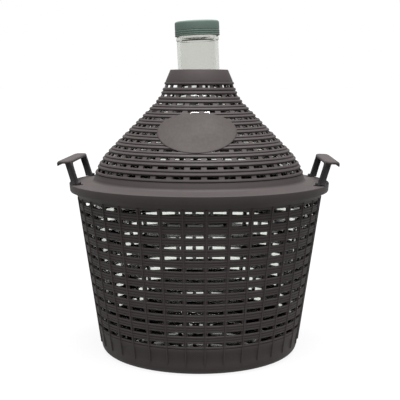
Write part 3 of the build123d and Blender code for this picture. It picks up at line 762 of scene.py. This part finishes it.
# ---- the handles: two posts and a shelf-like grip each, one moulding on either side of the brim
# Posts lean outwards, flare to the foot and have a shallow channel down each side; the grip's outer edge
# turns down. The skin is grown round the rough shapes, so every joint between them is filleted.
handle_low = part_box("handle_right")[0]
FOOT_X = 185.2 * MM
POST_HEIGHT = 34.3 * MM
POST_TOP_X = FOOT_X + POST_HEIGHT * tan(radians(17))
GRIP_TILT = radians(1.5)
foot_z = 269.7 * MM
grip_z = foot_z + POST_HEIGHT - 2.0 * MM
GRIP_IN, GRIP_OUT = -6.0 * MM, 17.5 * MM
GRIP_HALF_LENGTH = 76.0 * MM
POST_DEPTH, POST_WIDTH = 10.4 * MM, 9.6 * MM
CURL_START, CURL = 9.0 * MM, 30


def loft(maker, sections):
    """Closed skin through sections, each a list of points with the same count."""
    rings = [[maker.verts.new(point) for point in section] for section in sections]
    for low, high in zip(rings, rings[1:]):
        for i in range(len(low)):
            maker.faces.new((low[i - 1], low[i], high[i], high[i - 1]))
    maker.faces.new(rings[0])
    maker.faces.new(rings[-1])


def channelled(half_depth, half_width):
    """A post's section: a rectangle with a shallow channel in the two sides that face along the grip."""
    deep, notch = half_width - 0.9 * MM, 0.45 * half_depth
    side = [(-half_depth, half_width), (-notch, half_width), (-notch * 0.8, deep)]
    side += [(notch * 0.8, deep), (notch, half_width), (half_depth, half_width)]
    return side + [(-x, -y) for x, y in side]


def on_grip(u, v, w):
    """A point of the grip, from its place across, along and above it; the outer half curls down."""
    curl = max(u - CURL_START, 0) ** 2 * CURL
    x = POST_TOP_X + u * cos(GRIP_TILT) + w * sin(GRIP_TILT)
    return x, v, grip_z - u * sin(GRIP_TILT) + w * cos(GRIP_TILT) - curl


def grip_section(inset, w, inner=GRIP_IN, outer=GRIP_OUT, corner=9.0 * MM, half_length=GRIP_HALF_LENGTH):
    """The grip's rounded rectangle at height w above its underside, with points all along its ends."""
    points = []
    for u_side, v_side, start in ((1, 1, 0), (-1, 1, 90), (-1, -1, 180), (1, -1, 270)):
        u = (outer if u_side > 0 else inner) - u_side * corner
        for i in range(9):
            a = radians(start + 11.25 * i)
            reach = corner - inset
            points.append(on_grip(u + reach * cos(a), v_side * (half_length - corner) + reach * sin(a), w))
    return points


handle_maker = bmesh.new()
for end in (-1, 1):
    sections = []
    for t in (0, 0.06, 0.15, 0.3, 0.5, 0.7, 0.8, 0.9, 1):
        flare = 1.2 * MM * exp(-9 * t)
        bow = 3.4 * MM * exp(-9 * (1 - t))
        x = FOOT_X + (POST_TOP_X - FOOT_X) * t + flare * 0.3
        depth = POST_DEPTH / 2 + flare * 0.2
        width = POST_WIDTH / 2 + flare + bow
        y, z = end * (HANDLE_SPAN - bow), foot_z + POST_HEIGHT * t
        sections.append([(x + a, y + b, z) for a, b in channelled(depth, width)])
    loft(handle_maker, sections)
    tongue = [(-3.0, -4.5), (3.0, -4.5), (3.0, 4.5), (-3.0, 4.5)]
    loft(handle_maker, [
        [(TONGUE_X + a * MM, end * HANDLE_SPAN + b * MM, z) for a, b in tongue]
        for z in (handle_low.z, foot_z + 4 * MM)
    ])
grip_layers = [(1.0, 0), (0.2, 0.6), (0, 1.4), (0, 2.6), (0.5, 3.7), (1.6, 4.5), (3.0, 4.8)]
loft(handle_maker, [grip_section(inset * MM, w * MM) for inset, w in grip_layers])
lip_layers = [(0.5, -2.2), (0, -1.6), (0, 1.6)]
loft(handle_maker, [
    grip_section(inset * MM, w * MM, inner=14.2 * MM, corner=1.5 * MM, half_length=HANDLE_SPAN)
    for inset, w in lip_layers
])
bmesh.ops.recalc_face_normals(handle_maker, faces=handle_maker.faces)
handle_right = keep(handle_maker, "grip_right")
skin = handle_right.modifiers.new("skin", "REMESH")
skin.mode = "VOXEL"
skin.voxel_size = 0.6 * MM
soften = handle_right.modifiers.new("soften", "SMOOTH")
soften.iterations = 6
seen = handle_right.evaluated_get(bpy.context.evaluated_depsgraph_get())
handle_right.data = bpy.data.meshes.new_from_object(seen)
handle_right.modifiers.clear()
# painted shade and painted light: the posts are painted darker as shade, and the grip's top is painted pale
# as light from above
handle_plastic = moulded("handle_plastic", (0.0085, 0.0075, 0.0085), (0.022, 0.018, 0.0172), 0.22)
handle_nodes, handle_link = handle_plastic.node_tree.nodes, handle_plastic.node_tree.links.new
height = handle_nodes.new("ShaderNodeSeparateXYZ")
handle_link(handle_nodes.new("ShaderNodeTexCoord").outputs["Object"], height.inputs["Vector"])
# painted shade on the posts and painted light on the grip's top, blended by height
painted_light_share = handle_nodes.new("ShaderNodeMapRange")
painted_light_share.inputs["From Min"].default_value = grip_z - 4.0 * MM
painted_light_share.inputs["From Max"].default_value = grip_z + 1.0 * MM
handle_link(height.outputs["Z"], painted_light_share.inputs["Value"])
handle_tint = [node for node in handle_nodes if node.type == "MIX"][0]
handle_link(painted_light_share.outputs["Result"], handle_tint.inputs["Factor"])
coat(handle_right, handle_plastic, 60)

left_maker = bmesh.new()
left_maker.from_mesh(handle_right.data)
for vertex in left_maker.verts:
    vertex.co.x = -vertex.co.x
bmesh.ops.reverse_faces(left_maker, faces=left_maker.faces)
handle_left = keep(left_maker, "grip_left")
coat(handle_left, handle_plastic, 60)
for made, body in ((handle_right, "handle_right"), (handle_left, "handle_left")):
    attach(made, body)
    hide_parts(body)


# ---- stage: a pale floor, an even white surround, a broad soft light from above, and the camera
# The surround is plain white, and the floor gives off light too, so only a faint shadow shows on it. The
# light from above is what brightens every top face.
for helper in ("basket_line", "floor_line", "cone_line"):
    bpy.data.objects.remove(bpy.data.objects[helper])

sweep = bmesh.new()
bmesh.ops.create_grid(sweep, x_segments=1, y_segments=1, size=60)
floor = keep(sweep, "floor")
paper = bpy.data.materials.new("paper")
paper.use_nodes = True
paper_shader = paper.node_tree.nodes["Principled BSDF"]
paper_shader.inputs["Base Color"].default_value = (0.035, 0.035, 0.035, 1)
paper_shader.inputs["Emission Color"].default_value = (1, 1, 1, 1)
paper_shader.inputs["Emission Strength"].default_value = 0.9
paper_shader.inputs["Roughness"].default_value = 0.9
paper_shader.inputs["Specular IOR Level"].default_value = 0.0
floor.data.materials.append(paper)

world = bpy.data.worlds.new("surround")
bpy.context.scene.world = world
world.use_nodes = True
world.node_tree.nodes["Background"].inputs["Color"].default_value = (1, 1, 1, 1)
world.node_tree.nodes["Background"].inputs["Strength"].default_value = 1.0

above = bpy.data.lights.new("above", "SUN")
above.energy = 13.0
above.angle = radians(35)
light = bpy.data.objects.new("above", above)
light.rotation_euler = (radians(10), radians(2), 0)
bpy.context.scene.collection.objects.link(light)

CAMERA_SIDE = radians(2)
CAMERA_AWAY, CAMERA_HEIGHT = 1.419, 0.4209
lens = bpy.data.cameras.new("camera")
lens.lens = 81.0
lens.sensor_width = 36.0
camera = bpy.data.objects.new("camera", lens)
camera.location = (CAMERA_AWAY * sin(CAMERA_SIDE), -CAMERA_AWAY * cos(CAMERA_SIDE), CAMERA_HEIGHT)
camera.rotation_euler = (radians(90 - 7.344), 0, radians(2 - 0.051))
bpy.context.scene.collection.objects.link(camera)
bpy.context.scene.camera = camera
bpy.context.scene.view_settings.view_transform = "Standard"
